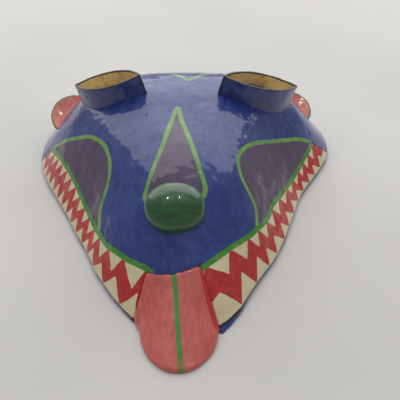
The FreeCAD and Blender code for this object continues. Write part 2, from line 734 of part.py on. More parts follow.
os.makedirs("parts", exist_ok=True)
for piece in pieces:
    piece.Shape.exportStep(f"parts/{piece.Label}.step")
    box = piece.Shape.BoundBox
    print(f"{piece.Label:24s} solids {len(piece.Shape.Solids)} volume {piece.Shape.Volume:10.1f}  "
          f"x {box.XMin:7.1f} {box.XMax:7.1f}  y {box.YMin:7.1f} {box.YMax:7.1f}  "
          f"z {box.ZMin:6.1f} {box.ZMax:6.1f}")
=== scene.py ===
"""The looks of a hand-painted papier-mache animal mask, built around its fixed CAD frame."""

import logging
import math
from dataclasses import dataclass, field
from enum import Enum
from typing import Optional, Sequence, Union

import bpy
import numpy as np
from mathutils import Euler, Matrix, Vector, noise
from mathutils.bvhtree import BVHTree


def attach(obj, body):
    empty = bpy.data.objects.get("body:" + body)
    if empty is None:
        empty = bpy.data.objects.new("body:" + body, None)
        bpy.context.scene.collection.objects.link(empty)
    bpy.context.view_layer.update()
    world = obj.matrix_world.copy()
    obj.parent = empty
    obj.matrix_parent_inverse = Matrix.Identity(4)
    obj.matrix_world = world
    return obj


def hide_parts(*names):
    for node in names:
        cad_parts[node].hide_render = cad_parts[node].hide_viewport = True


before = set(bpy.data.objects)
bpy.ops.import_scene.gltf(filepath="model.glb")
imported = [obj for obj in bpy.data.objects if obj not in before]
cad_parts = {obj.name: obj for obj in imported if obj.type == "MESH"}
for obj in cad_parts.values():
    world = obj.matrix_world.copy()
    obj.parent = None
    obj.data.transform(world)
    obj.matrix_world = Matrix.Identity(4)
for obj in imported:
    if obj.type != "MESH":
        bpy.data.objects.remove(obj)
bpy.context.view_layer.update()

MM = 0.001
LOG = logging.getLogger("mask")

Colour = tuple[float, float, float, float]
Points = Sequence[tuple[float, float]]


class Side(Enum):
    """Which half of the face a piece is on, seen with the tongue towards the viewer."""

    LEFT = -1
    RIGHT = 1

    @property
    def word(self) -> str:
        """The side's name as the frame's nodes spell it."""
        return self.name.lower()


class Wall(Enum):
    """Which strip of an eye collar: the one nearer the tongue or the one behind."""

    FRONT = -1
    BACK = 1

    @property
    def word(self) -> str:
        """The strip's name as the frame's nodes spell it."""
        return self.name.lower()


def paint(red: int, green: int, blue: int) -> Colour:
    """Turn a paint-chart colour into the linear colour that shaders use.

    Args:
        red: Red from 0 to 255.
        green: Green from 0 to 255.
        blue: Blue from 0 to 255.

    Returns:
        The linear colour with full alpha.
    """
    linear = []
    for part in (red, green, blue):
        share = part / 255
        linear.append(share / 12.92 if share <= 0.04045 else ((share + 0.055) / 1.055) ** 2.4)
    return (linear[0], linear[1], linear[2], 1.0)


# ------------------------------------------------------------------ shader graph


class Wire:
    """One output socket of a finish's graph, used in plain arithmetic."""

    def __init__(self, graph: "Graph", socket: bpy.types.NodeSocket) -> None:
        """Keep the socket and the graph it belongs to."""
        self.graph = graph
        self.socket = socket

    def __add__(self, other: "Value") -> "Wire":
        """Add a value."""
        return self.graph.maths("ADD", self, other)

    __radd__ = __add__

    def __sub__(self, other: "Value") -> "Wire":
        """Take a value away."""
        return self.graph.maths("SUBTRACT", self, other)

    def __rsub__(self, other: "Value") -> "Wire":
        """Take this away from a value."""
        return self.graph.maths("SUBTRACT", other, self)

    def __mul__(self, other: "Value") -> "Wire":
        """Multiply by a value."""
        return self.graph.maths("MULTIPLY", self, other)

    __rmul__ = __mul__

    def __truediv__(self, other: "Value") -> "Wire":
        """Divide by a value."""
        return self.graph.maths("DIVIDE", self, other)

    def __abs__(self) -> "Wire":
        """Drop the sign."""
        return self.graph.maths("ABSOLUTE", self)

    def either(self, other: "Value") -> "Wire":
        """The larger of two values, which joins two masks."""
        return self.graph.maths("MAXIMUM", self, other)

    def both(self, other: "Value") -> "Wire":
        """The smaller of two values, which keeps what two masks share."""
        return self.graph.maths("MINIMUM", self, other)

    def step(self, low: float, high: float) -> "Wire":
        """Rise smoothly from 0 to 1.

        Args:
            low: The value that gives 0.
            high: The value that gives 1.

        Returns:
            The share as a wire.
        """
        settings = {"interpolation_type": "SMOOTHSTEP"}
        sockets = {"Value": self, "From Min": low, "From Max": high}
        return self.graph.node("ShaderNodeMapRange", settings, sockets, "Result")


Value = Union[Wire, float]
Paint = Union[Wire, Colour]


class Graph:
    """The node graph of one finish."""

    def __init__(self, name: str) -> None:
        """Make an empty material.

        Args:
            name: The material's name.
        """
        self.material = bpy.data.materials.new(name)
        self.material.use_nodes = True
        self.tree = self.material.node_tree
        self.tree.nodes.clear()

    def node(self, kind: str, settings: dict, sockets: dict, out: Union[int, str] = 0) -> Wire:
        """Add a node.

        Args:
            kind: The node's type.
            settings: Its own settings, set first. "stops" are a ramp's places and colours.
            sockets: Values or wires by the input's name or number.
            out: The output to hand back.

        Returns:
            The chosen output as a wire.
        """
        made = self.tree.nodes.new(kind)
        for key, value in settings.items():
            if key == "stops":
                ramp = made.color_ramp.elements
                while len(ramp) < len(value):
                    ramp.new(0.5)
                for stop, (place, colour) in zip(ramp, value):
                    stop.position = place
                    stop.color = colour
            else:
                setattr(made, key, value)
        for key, value in sockets.items():
            if isinstance(value, Wire):
                self.tree.links.new(value.socket, made.inputs[key])
            else:
                made.inputs[key].default_value = value
        return Wire(self, made.outputs[out])

    def maths(self, operation: str, *values: Value) -> Wire:
        """Add a Math node on one to three values."""
        return self.node("ShaderNodeMath", {"operation": operation}, dict(enumerate(values)))

    def blend(self, under: Paint, over: Paint, share: Value) -> Wire:
        """Lay one colour over another by a share."""
        sockets = {0: share, 6: under, 7: over}
        return self.node("ShaderNodeMix", {"data_type": "RGBA"}, sockets, 2)

    def place(self, stretch: tuple[float, float, float] = (1, 1, 1), turn: float = 0.0) -> Wire:
        """Give the piece's own coordinates.

        Args:
            stretch: The scale along each axis.
            turn: The turn about +Z in radians.

        Returns:
            The coordinates as a wire.
        """
        here = self.node("ShaderNodeTexCoord", {}, {}, "Object")
        sockets = {"Vector": here, "Rotation": (0, 0, turn), "Scale": stretch}
        return self.node("ShaderNodeMapping", {}, sockets)

    def cloud(self, size: float, detail: float = 3.0, where: Optional[Wire] = None) -> Wire:
        """Soft noise from 0 to 1 whose lumps have a size in metres."""
        sockets = {"Vector": where or self.place(), "Scale": 1 / size, "Detail": detail}
        return self.node("ShaderNodeTexNoise", {}, sockets, "Fac")

    def gap(self, name: str) -> Wire:
        """A painted guide value kept on the mesh, in millimetres or as a share."""
        return self.node("ShaderNodeAttribute", {"attribute_name": name}, {}, "Fac")

    def bump(self, height: Value, distance: float, strength: float = 1.0) -> Wire:
        """Turn a height into a surface direction."""
        sockets = {"Height": height, "Distance": distance, "Strength": strength}
        return self.node("ShaderNodeBump", {}, sockets)

    def surface(self, **sockets: Union[Value, Paint]) -> bpy.types.Material:
        """Finish the material with one Principled shader.

        Args:
            sockets: Values or wires, with the input's name in snake case.

        Returns:
            The finished material.
        """
        named = {key.replace("_", " ").title().replace("Ior", "IOR"): value
                 for key, value in sockets.items()}
        shader = self.node("ShaderNodeBsdfPrincipled", {}, named)
        self.node_output(shader)
        return self.material

    def node_output(self, shader: Wire) -> None:
        """Join a shader to the material's output."""
        made = self.tree.nodes.new("ShaderNodeOutputMaterial")
        self.tree.links.new(shader.socket, made.inputs["Surface"])


@dataclass(frozen=True)
class Varnish:
    """Clear varnish brushed over paint: strong gloss with fine ripples. Sizes are in metres."""

    gloss: float = 0.9
    film_roughness: float = 0.07
    film_index: float = 1.5
    ripple: float = 0.00176
    stroke_size: float = 0.0027
    pulp_size: float = 0.0108
    strength: float = 0.2

    def relief(self, graph: Graph, turn: float) -> Wire:
        """Fine ripples of the brush and of the paper under it.

        Args:
            graph: The finish's graph.
            turn: The brush's direction about +Z, in radians.

        Returns:
            The surface direction.
        """
        brushed = graph.place((1.0, 0.28, 1.0), turn)
        strokes = graph.cloud(self.stroke_size, 4.0, brushed)
        pulp = graph.cloud(self.pulp_size, 3.0)
        return graph.bump(strokes * 0.45 + pulp * 0.8, self.ripple, self.strength)


@dataclass(frozen=True)
class FacePaint:
    """The painted and varnished outside of the face, and the bare paper inside it.

    The lines are half widths in millimetres.
    """

    blue: Colour = paint(30, 50, 124)
    blue_thin: Colour = paint(52, 74, 148)
    mauve: Colour = paint(84, 66, 96)
    cream: Colour = paint(226, 214, 176)
    cream_shade: Colour = paint(204, 186, 142)
    red: Colour = paint(186, 32, 40)
    red_thin: Colour = paint(206, 62, 62)
    band_green: Colour = paint(62, 138, 40)
    line_green: Colour = paint(120, 172, 72)
    black: Colour = paint(16, 17, 26)
    patch_line: float = 1.65
    drop_line: float = 1.7
    brow_line: float = 1.6
    band_line: float = 1.95
    end_line: float = 0.85
    spot: float = 0.8
    varnish: Varnish = Varnish()

    def material(self) -> bpy.types.Material:
        """Mix every painted zone by its guides.

        Returns:
            The material of the face.
        """
        graph = Graph("painted_face")
        streak = graph.cloud(0.004, 5.0, graph.place((1.0, 0.18, 1.0), 0.35))
        cross = graph.cloud(0.005, 4.0, graph.place((0.2, 1.0, 1.0), -0.25))
        wide = graph.cloud(0.03, 3.0)
        hand = graph.cloud(0.0035, 2.0) - 0.5
        ground = graph.blend(self.blue, self.blue_thin, (streak * 0.6 + wide * 0.6).step(0.45, 0.85))
        fill = graph.blend(self.mauve, self.blue, (cross * 0.7 + wide * 0.4).step(0.5, 0.95) * 0.45)
        patch = 1 - (graph.gap("patch_gap") + hand * 0.6).step(-0.3, 0.3)
        drop = 1 - (graph.gap("drop_gap") + hand * 0.6).step(-0.3, 0.3)
        colour = graph.blend(ground, fill, patch.either(drop))
        thin = graph.cloud(0.006, 4.0).step(0.3, 0.62)
        lines = self.line(graph, "patch_gap", self.patch_line, hand)
        lines = lines.either(self.line(graph, "drop_gap", self.drop_line, hand))
        lines = lines.either(self.line(graph, "brow_gap", self.brow_line, hand))
        pale = graph.blend(self.line_green, self.band_green, streak.step(0.42, 0.75) * 0.6)
        colour = graph.blend(colour, pale, lines * (0.72 + thin * 0.28))
        colour = graph.blend(colour, self.teeth(graph, streak, cross, hand), self.band(graph, hand))
        strong = graph.blend(self.band_green, self.line_green, cross.step(0.45, 0.8) * 0.55)
        colour = graph.blend(colour, strong, self.line(graph, "green_gap", self.band_line, hand))
        colour = graph.blend(colour, self.black, self.line(graph, "end_gap", self.end_line, hand))
        colour = graph.blend(colour, self.black, self.line(graph, "spot_gap", self.spot, hand))
        chips = graph.cloud(0.0016, 4.0).step(0.7, 0.78) * graph.cloud(0.02, 2.0).step(0.5, 0.7)
        worn = chips * (1 - graph.gap("rim_up").step(-1.0, 3.0))
        colour = graph.blend(colour, self.cream_shade, worn * 0.6)
        inside = graph.gap("inside").step(0.35, 0.65)
        paper = KraftPaper()
        colour = graph.blend(colour, paper.colour(graph), inside)
        shine = 1 - inside
        rough = 0.34 + streak * 0.12 + inside * 0.42
        return graph.surface(base_color=colour, roughness=rough, coat_weight=shine * self.varnish.gloss,
                             coat_roughness=self.varnish.film_roughness, coat_ior=self.varnish.film_index,
                             specular_ior_level=0.3, normal=self.varnish.relief(graph, 0.3))

    def line(self, graph: Graph, guide: str, half_width: float, hand: Wire) -> Wire:
        """A brushed line along a guide.

        Args:
            graph: The finish's graph.
            guide: The name of the guide, whose value is the distance in millimetres.
            half_width: Half of the line's width in millimetres.
            hand: The unsteadiness of the hand, about 0.

        Returns:
            The line's mask.
        """
        distance = abs(graph.gap(guide)) + hand * 0.7
        return 1 - distance.step(half_width - 0.22, half_width + 0.22)

    def band(self, graph: Graph, hand: Wire) -> Wire:
        """The mask of the band of teeth along the jaw.

        Args:
            graph: The finish's graph.
            hand: The unsteadiness of the hand, about 0.

        Returns:
            The mask.
        """
        inner = (graph.gap("band_gap") + hand * 0.3).step(-0.2, 0.2)
        return inner.both((graph.gap("rim_up") + hand * 0.5).step(-1.6, -1.2))

    def teeth(self, graph: Graph, streak: Wire, cross: Wire, hand: Wire) -> Wire:
        """Cream teeth, the red zigzag between them and the dark line at the rim.

        Args:
            graph: The finish's graph.
            streak: Brush streaks.
            cross: Brush streaks across them.
            hand: The unsteadiness of the hand, about 0.

        Returns:
            The colour of the band.
        """
        red = graph.blend(self.red, self.red_thin, (streak * 0.5 + cross * 0.5).step(0.42, 0.7) * 0.8)
        cream = graph.blend(self.cream, self.cream_shade, cross.step(0.45, 0.8) * 0.5)
        tooth = (graph.gap("tooth_gap") + hand * 0.9).step(-0.22, 0.22)
        colour = graph.blend(red, cream, tooth)
        edge = 1 - (graph.gap("rim_up") + hand * 0.8).step(-0.2, 0.3)
        return graph.blend(colour, self.black, edge)


@dataclass(frozen=True)
class KraftPaper:
    """Bare glued strips of brown wrapping paper."""

    light: Colour = paint(176, 142, 98)
    dark: Colour = paint(128, 96, 60)
    stain: Colour = paint(88, 66, 44)

    def colour(self, graph: Graph) -> Wire:
        """Torn overlapping strips, each of its own tone, with glue stains.

        Args:
            graph: The finish's graph.

        Returns:
            The colour.
        """
        where = graph.place((1.0, 0.45, 1.0), 0.6)
        cells = {"Vector": where, "Scale": 42.0, "Randomness": 0.9}
        tone = graph.node("ShaderNodeTexVoronoi", {"distance": "MANHATTAN"}, cells, "Color")
        strips = graph.blend(self.light, self.dark, tone)
        seam_settings = {"feature": "DISTANCE_TO_EDGE"}
        seam = graph.node("ShaderNodeTexVoronoi", seam_settings, cells, "Distance")
        strips = graph.blend(strips, self.dark, (1 - seam.step(0.01, 0.07)) * 0.6)
        fibre = graph.cloud(0.0012, 4.0, graph.place((1.0, 0.15, 1.0), 0.6))
        strips = graph.blend(strips, self.light, fibre.step(0.5, 0.8) * 0.3)
        return graph.blend(strips, self.stain, graph.cloud(0.03, 4.0).step(0.52, 0.72) * 0.55)

    def material(self) -> bpy.types.Material:
        """The paper by itself, for a bare lump of it.

        Returns:
            The material.
        """
        graph = Graph("bare_kraft_pulp")
        fibre = graph.cloud(0.0014, 5.0) + graph.cloud(0.006, 3.0)
        return graph.surface(base_color=self.colour(graph), roughness=0.82 + fibre * 0.06,
                             normal=graph.bump(fibre, 0.0006, 0.6))


@dataclass(frozen=True)
class TonguePaint:
    """Salmon pink with one green stroke down the middle."""

    pink: Colour = paint(214, 106, 100)
    pink_deep: Colour = paint(196, 84, 84)
    green: Colour = paint(62, 142, 44)
    red: Colour = paint(196, 26, 34)
    red_thin: Colour = paint(214, 60, 60)
    varnish: Varnish = Varnish(gloss=0.7, film_roughness=0.1, ripple=0.00144)

    def material(self) -> bpy.types.Material:
        """Pink laid on in long strokes, with the green line over it.

        Returns:
            The material.
        """
        graph = Graph("painted_tongue")
        streak = graph.cloud(0.003, 5.0, graph.place((1.0, 0.16, 1.0)))
        wide = graph.cloud(0.02, 3.0)
        colour = graph.blend(self.pink, self.pink_deep, (streak * 0.7 + wide * 0.5).step(0.45, 0.8))
        hand = graph.cloud(0.003, 2.0) - 0.5
        stroke = abs(graph.gap("line_gap")) + hand * 0.8
        green = graph.blend(self.green, self.pink_deep, streak.step(0.5, 0.8) * 0.35)
        colour = graph.blend(colour, green, 1 - stroke.step(1.45, 1.95))
        red = graph.blend(self.red, self.red_thin, streak.step(0.42, 0.7) * 0.6)
        colour = graph.blend(colour, red, (graph.gap("jaw_gap") + hand * 0.7).step(-0.25, 0.25))
        below = 1 - graph.gap("top_side").step(0.2, 0.5)
        colour = graph.blend(colour, KraftPaper().colour(graph), below)
        gloss = (1 - below) * self.varnish.gloss
        return graph.surface(base_color=colour, roughness=0.38 + streak * 0.14 + below * 0.3,
                             coat_weight=gloss, coat_roughness=self.varnish.film_roughness,
                             coat_ior=self.varnish.film_index, normal=self.varnish.relief(graph, 0.1))


@dataclass(frozen=True)
class NosePaint:
    """Deep green under the thickest varnish of the mask."""

    green: Colour = paint(18, 92, 34)
    deep: Colour = paint(10, 66, 28)
    light: Colour = paint(40, 122, 52)
    varnish: Varnish = Varnish(gloss=1.0, film_roughness=0.05, ripple=0.0016)

    def material(self) -> bpy.types.Material:
        """Green with thinner strokes near its edge.

        Returns:
            The material.
        """
        graph = Graph("painted_nose")
        streak = graph.cloud(0.0035, 4.0, graph.place((0.25, 1.0, 1.0), 0.2))
        colour = graph.blend(self.green, self.deep, streak.step(0.4, 0.7))
        edge = 1 - graph.gap("up_gap").step(0.6, 3.2)
        colour = graph.blend(colour, self.light, edge * (0.4 + streak * 0.4))
        return graph.surface(base_color=colour, roughness=0.3 + streak * 0.1,
                             coat_weight=self.varnish.gloss - edge * 0.1,
                             coat_roughness=self.varnish.film_roughness,
                             coat_ior=self.varnish.film_index, normal=self.varnish.relief(graph, -0.4))


@dataclass(frozen=True)
class CollarPaint:
    """Blue outside, stained cream inside, and a black brush line round the rim."""

    blue: Colour = paint(24, 42, 118)
    blue_thin: Colour = paint(44, 64, 142)
    cream: Colour = paint(230, 208, 156)
    stain: Colour = paint(190, 152, 84)
    black: Colour = paint(15, 15, 20)
    varnish: Varnish = Varnish(gloss=0.9, film_roughness=0.08)

    def material(self) -> bpy.types.Material:
        """Mix outside, inside and rim by their guides.

        Returns:
            The material.
        """
        graph = Graph("painted_collar")
        streak = graph.cloud(0.004, 4.0, graph.place((0.3, 0.3, 1.0)))
        hand = graph.cloud(0.003, 2.0) - 0.5
        blue = graph.blend(self.blue, self.blue_thin, streak.step(0.42, 0.75) * 0.8)
        marks = graph.cloud(0.008, 4.0).step(0.45, 0.7)
        cream = graph.blend(self.cream, self.stain, marks * 0.75)
        colour = graph.blend(blue, cream, graph.gap("inside").step(0.4, 0.6))
        low = 1 - (graph.gap("rim_drop") + hand * 1.1).step(0.75, 1.15)
        corner = 1 - (graph.gap("corner_gap") + hand * 0.6).step(0.7, 1.1)
        outside = 1 - graph.gap("inside").step(0.4, 0.6)
        colour = graph.blend(colour, self.black, low.either(corner * outside))
        return graph.surface(base_color=colour, roughness=0.34 + streak * 0.12,
                             coat_weight=outside * 0.55 + 0.35,
                             coat_roughness=self.varnish.film_roughness,
                             coat_ior=self.varnish.film_index, normal=self.varnish.relief(graph, 0.0))


@dataclass(frozen=True)
class EyePaint:
    """Stained cream with a green iris, its dark outline and a black pupil."""

    cream: Colour = paint(228, 206, 152)
    stain: Colour = paint(186, 148, 82)
    green: Colour = paint(34, 104, 52)
    dark: Colour = paint(14, 30, 24)
    iris: float = 6.2
    pupil: float = 2.4

    def material(self) -> bpy.types.Material:
        """Rings round the guide's middle.

        Returns:
            The material.
        """
        graph = Graph("painted_eyeball")
        hand = graph.cloud(0.004, 2.0) - 0.5
        marks = graph.cloud(0.007, 4.0).step(0.42, 0.7)
        colour = graph.blend(self.cream, self.stain, marks * 0.7)
        far = graph.gap("iris_gap") + hand * 0.9
        streak = graph.cloud(0.002, 4.0)
        colour = graph.blend(colour, self.dark, 1 - far.step(self.iris + 0.5, self.iris + 0.8))
        green = graph.blend(self.green, self.dark, streak.step(0.5, 0.8) * 0.4)
        colour = graph.blend(colour, green, 1 - far.step(self.iris - 0.3, self.iris))
        colour = graph.blend(colour, self.dark, 1 - far.step(self.pupil - 0.2, self.pupil + 0.2))
        return graph.surface(base_color=colour, roughness=0.4 + streak * 0.1, coat_weight=0.5 + streak * 0.2,
                             coat_roughness=0.1, normal=Varnish().relief(graph, 0.7))


@dataclass(frozen=True)
class EarPaint:
    """Salmon pink with a thin green edge, over bare card on the back."""

    pink: Colour = paint(222, 118, 104)
    pink_pale: Colour = paint(230, 146, 130)
    green: Colour = paint(96, 132, 66)
    varnish: Varnish = Varnish(gloss=0.5, film_roughness=0.14)

    def material(self) -> bpy.types.Material:
        """Pink inside the green edge.

        Returns:
            The material.
        """
        graph = Graph("painted_ear")
        streak = graph.cloud(0.004, 4.0, graph.place((1.0, 0.3, 1.0), 0.6))
        hand = graph.cloud(0.003, 2.0) - 0.5
        colour = graph.blend(self.pink, self.pink_pale, streak.step(0.4, 0.7))
        edge = 1 - (graph.gap("edge_gap") + hand * 0.9).step(1.1, 1.5)
        colour = graph.blend(colour, self.green, edge)
        behind = 1 - graph.gap("top_side").step(0.1, 0.4)
        colour = graph.blend(colour, KraftPaper().colour(graph), behind * (1 - edge))
        return graph.surface(base_color=colour, roughness=0.42 + streak * 0.14 + behind * 0.3,
                             coat_weight=(1 - behind) * self.varnish.gloss,
                             coat_roughness=self.varnish.film_roughness,
                             normal=self.varnish.relief(graph, 0.5))


@dataclass(frozen=True)
class WireSteel:
    """Drawn steel wire, a little dulled and spotted with rust."""

    steel: Colour = paint(150, 150, 148)
    rust: Colour = paint(112, 70, 42)

    def material(self) -> bpy.types.Material:
        """Metal with drawn lines and a few rust spots.

        Returns:
            The material.
        """
        graph = Graph("drawn_wire")
        drawn = graph.cloud(0.0012, 4.0, graph.place((0.1, 1.0, 1.0)))
        spots = graph.cloud(0.0025, 4.0).step(0.6, 0.72)
        colour = graph.blend(self.steel, self.rust, spots)
        rough = 0.28 + drawn * 0.2 + spots * 0.3
        return graph.surface(base_color=colour, metallic=1 - spots, roughness=rough,
                             normal=graph.bump(drawn + spots, 0.0002, 0.4))


@dataclass(frozen=True)
class Tape:
    """Coarse plain-woven cotton tape, stiff with glue."""

    thread: Colour = paint(196, 182, 152)
    gap: Colour = paint(122, 106, 80)
    pitch: float = 0.0009

    def material(self) -> bpy.types.Material:
        """Over and under threads at one pitch.

        Returns:
            The material.
        """
        graph = Graph("woven_tape")
        turn = 2 * math.pi / self.pitch
        here = graph.node("ShaderNodeTexCoord", {}, {}, "Object")
        waves = []
        for axis, share in (("X", 1.0), ("Z", 1.3)):
            part = graph.node("ShaderNodeSeparateXYZ", {}, {"Vector": here}, axis)
            waves.append(graph.maths("SINE", part * (turn * share)))
        weave = waves[0] * waves[1] * 0.5 + 0.5
        glue = graph.cloud(0.004, 3.0).step(0.5, 0.75)
        colour = graph.blend(self.gap, self.thread, weave.step(0.1, 0.7))
        colour = graph.blend(colour, self.gap, glue * 0.4)
        return graph.surface(base_color=colour, roughness=0.85 - glue * 0.3,
                             normal=graph.bump(weave, 0.0003, 0.7))


@dataclass(frozen=True)
class Board:
    """The pale painted board that the mask lies on."""

    pale: Colour = paint(226, 224, 221)
    shade: Colour = paint(219, 217, 214)

    def material(self) -> bpy.types.Material:
        """A nearly even matt white with faint clouds.

        Returns:
            The material.
        """
        graph = Graph("pale_board")
        cloud = graph.cloud(0.25, 3.0)
        colour = graph.blend(self.pale, self.shade, cloud.step(0.35, 0.65))
        return graph.surface(base_color=colour, roughness=0.62 + cloud * 0.08,
                             normal=graph.bump(graph.cloud(0.004, 3.0), 0.0002, 0.1))


# ------------------------------------------------------------------ guides on a mesh


def flowing(points: Points, steps: int = 10) -> np.ndarray:
    """Draw a smooth line through points.

    Args:
        points: Places in millimetres, seen from above.
        steps: How many short pieces lie between two points.

    Returns:
        The line's points, one a row.
    """
    knots = np.array(points, float)
    ends = np.vstack([2 * knots[0] - knots[1], knots, 2 * knots[-1] - knots[-2]])
    line = []
    for before, start, end, after in zip(ends, ends[1:], ends[2:], ends[3:]):
        for i in range(steps):
            t = i / steps
            line.append(0.5 * (2 * start + (end - before) * t
                               + (2 * before - 5 * start + 4 * end - after) * t**2
                               + (3 * start - before - 3 * end + after) * t**3))
    return np.vstack([line, knots[-1:]])


@dataclass
class Stroke:
    """An open line on the face, seen from above."""

    line: np.ndarray

    def measure(self, places: np.ndarray) -> tuple[np.ndarray, np.ndarray, np.ndarray]:
        """Measure places against the line.

        Args:
            places: Places in millimetres, one a row.

        Returns:
            The distance to the line, the way from its nearest point, and that point's
            length along the line.
        """
        best = np.full(len(places), 1e9)
        way = np.zeros((len(places), 2))
        along = np.zeros(len(places))
        length = 0.0
        for start, end in zip(self.line, self.line[1:]):
            reach = end - start
            size = float(np.hypot(*reach))
            share = np.clip((places - start) @ reach / max(size * size, 1e-9), 0, 1)
            offset = places - start - share[:, None] * reach
            distance = np.hypot(offset[:, 0], offset[:, 1])
            nearer = distance < best
            best[nearer] = distance[nearer]
            way[nearer] = offset[nearer]
            along[nearer] = length + share[nearer] * size
            length += size
        return best, way / np.maximum(best, 1e-6)[:, None], along


def within(outline: np.ndarray, places: np.ndarray) -> np.ndarray:
    """Tell which places lie inside a closed outline.

    Args:
        outline: The outline's points, one a row.
        places: Places in millimetres, one a row.

    Returns:
        True for each place inside.
    """
    inside = np.zeros(len(places), bool)
    x, y = places.T
    for (ax, ay), (bx, by) in zip(outline, np.roll(outline, -1, axis=0)):
        if ay == by:
            continue
        inside ^= ((ay > y) != (by > y)) & (x < ax + (y - ay) * (bx - ax) / (by - ay))
    return inside


@dataclass(frozen=True)
class Teeth:
    """How the teeth along one side of the jaw are spaced and how they lean, front then rear.

    Pitches are in millimetres along the green line. Leans and depths are shares of a tooth.
    """

    pitches: tuple[float, ...]
    inner_lean: tuple[float, float]
    outer_lean: tuple[float, float]
    inner_depth: tuple[float, float]
    outer_depth: float = 0.46
    outer_shift: float = 0.4
    rear_from: float = 8.0

    def count(self, along: np.ndarray) -> np.ndarray:
        """Number the teeth.

        Args:
            along: The length along the line that their bases lie on, in millimetres.

        Returns:
            The tooth number with its fraction, which is below 0 ahead of the line's start.
        """
        steps = self.pitches + (self.pitches[-1],) * 3
        places = np.cumsum((self.pitches[0] - 3 * self.pitches[1], 2 * self.pitches[1]) + steps[1:])
        return np.interp(along, places, np.hstack([-3, np.arange(-1, len(places) - 2)]))

    def gap(self, number: np.ndarray, share: np.ndarray, width: np.ndarray) -> np.ndarray:
        """Distance into a tooth, negative in the zigzag between the rows.

        Args:
            number: The tooth number, with its fraction.
            share: 0 at the rim and 1 at the green line.
            width: The band's width in millimetres.

        Returns:
            The distance in millimetres.
        """
        rear = np.clip(number / self.rear_from, 0, 1)
        depth = self.inner_depth[0] + (self.inner_depth[1] - self.inner_depth[0]) * rear
        inner = self.peak(number, self.inner_lean, rear) * depth - (1 - share)
        outer = self.peak(number - self.outer_shift, self.outer_lean, rear) * self.outer_depth - share
        return np.maximum(inner, outer) * width

    def peak(self, number: np.ndarray, lean: tuple[float, float], rear: np.ndarray) -> np.ndarray:
        """Draw a row of leaning triangles.

        Args:
            number: The tooth number, with its fraction.
            lean: Where each peak stands between two teeth, at the front and at the rear.
            rear: 0 at the front and 1 at the rear.

        Returns:
            The height from 0 to 1.
        """
        top = lean[0] + (lean[1] - lean[0]) * rear
        part = number - np.floor(number)
        return np.where(part < top, part / top, (1 - part) / (1 - top))


# ------------------------------------------------------------------ paper and pulp pieces


@dataclass(frozen=True)
class Lump:
    """One size of unevenness in hand-laid paper: its width and how far it stands, in metres."""

    width: float
    height: float
    seed: float = 0.0


@dataclass
class Skin:
    """A piece of paper or pulp that takes its form from a CAD node, laid by hand."""

    name: str
    node: str
    slot: str
    grain: float
    body: str = "mask"
    soften: int = 3
    swell: float = 0.0
    lumps: tuple[Lump, ...] = (Lump(0.02, 0.0004), Lump(0.007, 0.00018, 5.0))
    made: Optional[bpy.types.Object] = field(default=None, repr=False)

    def build(self, sink: Optional[BVHTree] = None, axis: Vector = Vector((0, 0, 1)),
              depth: float = 0.0015) -> bpy.types.Object:
        """Close, soften and rumple the node's form.

        Args:
            sink: The face's surface, where the piece is glued down into it.
            axis: The direction that the glued edge is pressed against.
            depth: How far the glued edge goes in, in metres.

        Returns:
            The new piece.
        """
        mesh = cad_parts[self.node].data.copy()
        mesh.materials.clear()
        piece = bpy.data.objects.new(self.name, mesh)
        bpy.context.scene.collection.objects.link(piece)
        weld = piece.modifiers.new("weld", "WELD")
        weld.merge_threshold = 0.00001
        grain = piece.modifiers.new("grain", "REMESH")
        grain.mode = "VOXEL"
        grain.voxel_size = self.grain
        soften = piece.modifiers.new("soften", "SMOOTH")
        soften.iterations = self.soften
        view = bpy.context.evaluated_depsgraph_get()
        piece.data = bpy.data.meshes.new_from_object(piece.evaluated_get(view))
        piece.modifiers.clear()
        piece.data.name = self.name
        self.made = piece
        self.rumple(sink, axis, depth)
        piece.data.shade_smooth()
        return piece

    def rumple(self, sink: Optional[BVHTree], axis: Vector, depth: float) -> None:
        """Move every point by the lumps and press the glued edge in.

        Args:
            sink: The face's surface, where the piece is glued down into it.
            axis: The direction that the glued edge is pressed against.
            depth: How far the glued edge goes in, in metres.
        """
        places, ways = self.points(), self.normals()
        shift = np.full(len(places), self.swell)
        for lump in self.lumps:
            offset = Vector((lump.seed, 2 * lump.seed, 3 * lump.seed))
            waves = [noise.noise(Vector(place) / lump.width + offset) for place in places]
            shift += np.array(waves) * lump.height
        places = places + ways * shift[:, None]
        if sink is not None:
            push = np.zeros(len(places))
            for i, place in enumerate(places):
                near = sink.find_nearest(Vector(place), 3 * depth)
                if near[0] is not None:
                    push[i] = depth * max(0.0, 1 - near[3] / (2 * depth))
            places = places - np.array(axis)[None, :] * push[:, None]
        self.move(places)

    def points(self) -> np.ndarray:
        """Read the mesh's points.

        Returns:
            The points in metres, one a row.
        """
        flat = np.zeros(len(self.made.data.vertices) * 3)
        self.made.data.vertices.foreach_get("co", flat)
        return flat.reshape(-1, 3)

    def normals(self) -> np.ndarray:
        """Read the mesh's outward ways.

        Returns:
            The ways, one a row.
        """
        flat = np.zeros(len(self.made.data.vertices) * 3)
        self.made.data.vertex_normals.foreach_get("vector", flat)
        return flat.reshape(-1, 3)

    def move(self, places: np.ndarray) -> None:
        """Put the mesh's points in new places."""
        self.made.data.vertices.foreach_set("co", places.astype(np.float32).ravel())
        self.made.data.update()

    def guide(self, name: str, values: np.ndarray) -> None:
        """Keep one guide value for each point."""
        kept = self.made.data.attributes.new(name, "FLOAT", "POINT")
        kept.data.foreach_set("value", np.asarray(values, np.float32))

    def dress(self, material: bpy.types.Material) -> bpy.types.Object:
        """Paint the piece and hand it to the frame.

        Args:
            material: The finish.

        Returns:
            The piece.
        """
        self.made.data.materials.append(material)
        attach(self.made, self.body)
        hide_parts(self.node)
        LOG.info("%s: %d faces", self.name, len(self.made.data.polygons))
        return self.made


